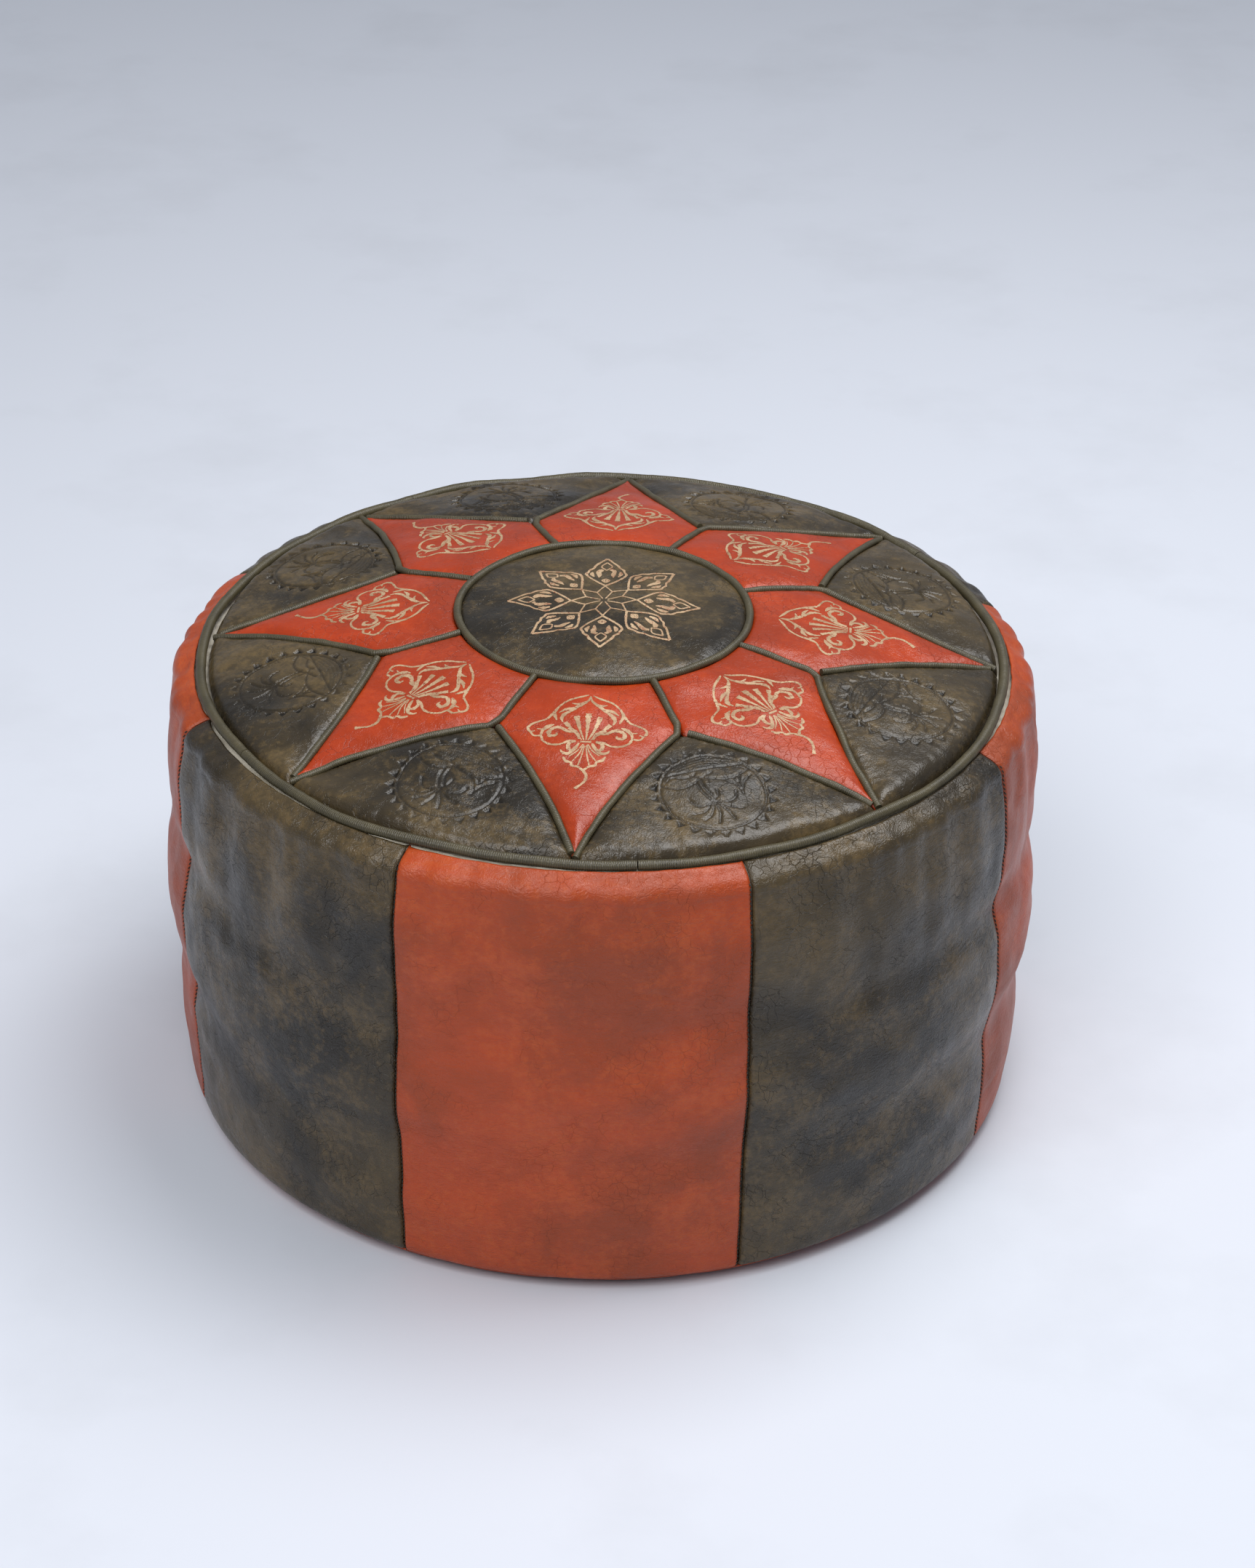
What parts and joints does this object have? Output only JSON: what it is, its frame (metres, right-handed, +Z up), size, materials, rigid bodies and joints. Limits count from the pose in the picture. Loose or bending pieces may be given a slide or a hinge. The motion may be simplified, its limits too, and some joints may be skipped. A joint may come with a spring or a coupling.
{
  "type": "moroccan leather pouf",
  "caption": "Stuffed round leather footstool with an orange star on an olive crown, panelled wall, piped seams and a zip across its base.",
  "frame": {"origin": "on the floor, under the middle of the drum", "axes": "+Z up; -Y is the front, where the first star point ends; +X to the right of it"},
  "size_m": [0.554, 0.554, 0.334],
  "materials": {
    "orange_leather": "satin",
    "olive_leather": "satin",
    "piping_leather": "satin",
    "gold_leaf": "satin",
    "cotton_cord": "matte",
    "seam_thread": "matte",
    "wadding": "matte",
    "zip_tape": "matte",
    "zip_metal": "satin"
  },
  "bodies": {
    "pouf": {"centre_disc": "olive_leather", "centre_welt": "piping_leather", "centre_welt_cord": "cotton_cord", "star_point_1": "orange_leather", "rim_panel_1": "olive_leather", "star_welt_long_1": "piping_leather", "star_welt_short_1": "piping_leather", "side_panel_1": "orange_leather", "star_point_2": "orange_leather", "rim_panel_2": "olive_leather", "star_welt_long_2": "piping_leather", "star_welt_short_2": "piping_leather", "side_panel_2": "olive_leather", "star_point_3": "orange_leather", "rim_panel_3": "olive_leather", "star_welt_long_3": "piping_leather", "star_welt_short_3": "piping_leather", "side_panel_3": "orange_leather", "star_point_4": "orange_leather", "rim_panel_4": "olive_leather", "star_welt_long_4": "piping_leather", "star_welt_short_4": "piping_leather", "side_panel_4": "olive_leather", "star_point_5": "orange_leather", "rim_panel_5": "olive_leather", "star_welt_long_5": "piping_leather", "star_welt_short_5": "piping_leather", "side_panel_5": "orange_leather", "star_point_6": "orange_leather", "rim_panel_6": "olive_leather", "star_welt_long_6": "piping_leather", "star_welt_short_6": "piping_leather", "side_panel_6": "olive_leather", "star_point_7": "orange_leather", "rim_panel_7": "olive_leather", "star_welt_long_7": "piping_leather", "star_welt_short_7": "piping_leather", "side_panel_7": "orange_leather", "star_point_8": "orange_leather", "rim_panel_8": "olive_leather", "star_welt_long_8": "piping_leather", "star_welt_short_8": "piping_leather", "side_panel_8": "olive_leather", "star_welt_cords": "cotton_cord", "rim_welt_1": "piping_leather", "rim_welt_2": "piping_leather", "rim_welt_3": "piping_leather", "rim_welt_4": "piping_leather", "rim_welt_cord": "cotton_cord", "side_seam_threads": "seam_thread", "bottom_panel_front": "orange_leather", "bottom_panel_back": "orange_leather", "stuffing": "wadding", "zip_tape_front": "zip_tape", "zip_chain_front": "zip_metal", "zip_tape_back": "zip_tape", "zip_chain_back": "zip_metal", "zip_end_stops": "zip_metal"},
    "zip_slider": {"zip_slider": "zip_metal"},
    "zip_pull": {"zip_pull": "zip_metal"}
  },
  "joints": [
    {"name": "zip_slide", "type": "slide", "parent": "pouf", "child": "zip_slider", "axis": [-1, 0, 0], "range_m": [0, 0.384]},
    {"name": "zip_pull_hinge", "type": "hinge", "parent": "zip_slider", "child": "zip_pull", "pos_m": [0.192, 0, 0.0045], "axis": [0, -1, 0], "range_deg": [-7, 143]}
  ]
}
